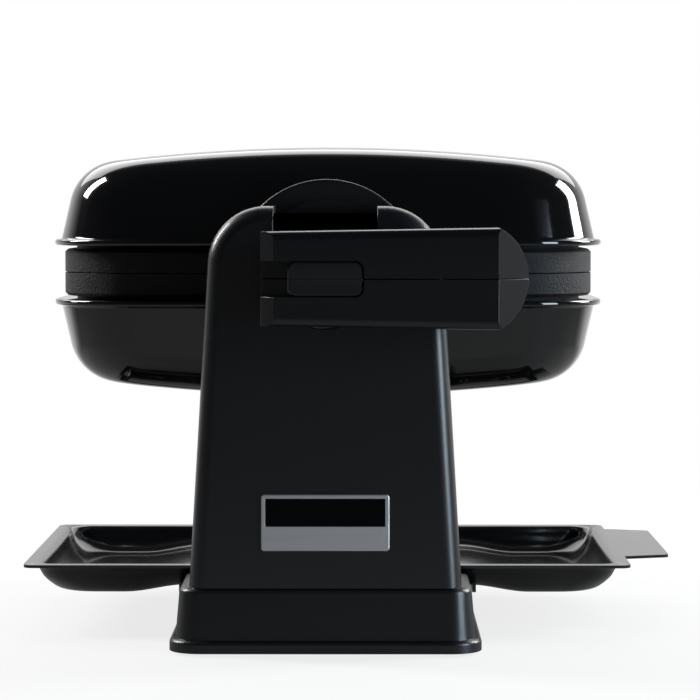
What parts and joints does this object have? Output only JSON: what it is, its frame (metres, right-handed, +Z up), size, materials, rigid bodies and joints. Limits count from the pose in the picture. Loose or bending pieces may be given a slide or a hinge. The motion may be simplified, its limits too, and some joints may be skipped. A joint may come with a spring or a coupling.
{
  "type": "rotating waffle maker",
  "caption": "Rotating waffle iron: hinged halves with studded plates turn on a hub between two columns over a drip tray.",
  "frame": {"origin": "on the table under the middle of the iron", "axes": "+X to the right seen from the front, where the grip points at rest; +Y to the back along the turning axis; +Z up"},
  "size_m": [0.321, 0.355, 0.2394],
  "materials": {
    "black_enamel": "gloss",
    "nonstick": "satin",
    "housing_plastic": "satin",
    "grip_plastic": "semi-gloss",
    "latch_plastic": "gloss",
    "tray_enamel": "gloss",
    "badge_steel": "brushed",
    "badge_black": "gloss",
    "plain_steel": "satin",
    "screw_steel": "plated",
    "bright_aluminium": "bright",
    "element_steel": "oxidised",
    "bearing_bronze": "sintered",
    "liner_nylon": "satin",
    "foot_rubber": "matte",
    "lens_red": "clear",
    "ceramic_white": "matte"
  },
  "bodies": {
    "stand": {"base_housing": "housing_plastic", "base_plate": "plain_steel", "base_feet": "foot_rubber", "front_column": "housing_plastic", "front_column_screws": "screw_steel", "column_liner": "liner_nylon", "badge_plate": "badge_steel", "badge_inlay": "badge_black", "rear_column": "housing_plastic", "rear_column_screws": "screw_steel", "rear_cover": "housing_plastic", "rear_cover_screws": "screw_steel", "rear_bearing": "bearing_bronze", "control_unit": "ceramic_white", "lamp_lenses": "lens_red", "cord_gland": "foot_rubber", "terminal_block": "ceramic_white"},
    "lower_iron": {"lower_shell": "black_enamel", "lower_plate": "nonstick", "lower_plate_screws": "screw_steel", "lower_element": "element_steel", "lower_reflector": "bright_aluminium", "lower_thermostat": "ceramic_white", "lower_hub": "housing_plastic", "lower_hub_screws": "screw_steel", "lower_grip": "grip_plastic", "lower_grip_screws": "screw_steel", "hinge_carrier": "plain_steel", "carrier_screws": "screw_steel", "hinge_pins": "screw_steel", "rear_axle": "plain_steel", "axle_screws": "screw_steel", "stop_collar": "plain_steel"},
    "upper_iron": {"upper_shell": "black_enamel", "upper_plate": "nonstick", "upper_plate_screws": "screw_steel", "upper_element": "element_steel", "upper_reflector": "bright_aluminium", "upper_thermostat": "ceramic_white", "upper_hub": "housing_plastic", "upper_hub_screws": "screw_steel", "upper_grip": "grip_plastic", "upper_grip_screws": "screw_steel", "latch_striker": "screw_steel", "hinge_arms": "plain_steel", "hinge_arm_screws": "screw_steel"},
    "latch": {"latch_slider": "latch_plastic"},
    "dial": {"control_knob": "grip_plastic"},
    "tray": {"drip_tray": "tray_enamel"}
  },
  "joints": [
    {"name": "iron_turn", "type": "hinge", "parent": "stand", "child": "lower_iron", "pos_m": [0, 0, 0.1765], "axis": [0, -1, 0], "range_deg": [-180, 0]},
    {"name": "iron_open", "type": "hinge", "parent": "lower_iron", "child": "upper_iron", "pos_m": [0, 0.0935, 0.195], "axis": [-1, 0, 0], "range_deg": [0, 95]},
    {"name": "latch_slide", "type": "slide", "parent": "lower_iron", "child": "latch", "axis": [-1, 0, 0], "range_m": [0, 0.007]},
    {"name": "dial_turn", "type": "hinge", "parent": "stand", "child": "dial", "pos_m": [0.056, 0.13, 0.098], "axis": [-1, 0, 0], "range_deg": [0, 270]},
    {"name": "tray_lift", "type": "slide", "parent": "stand", "child": "tray", "axis": [0, 0, 1], "range_m": [0, 0.03]}
  ]
}
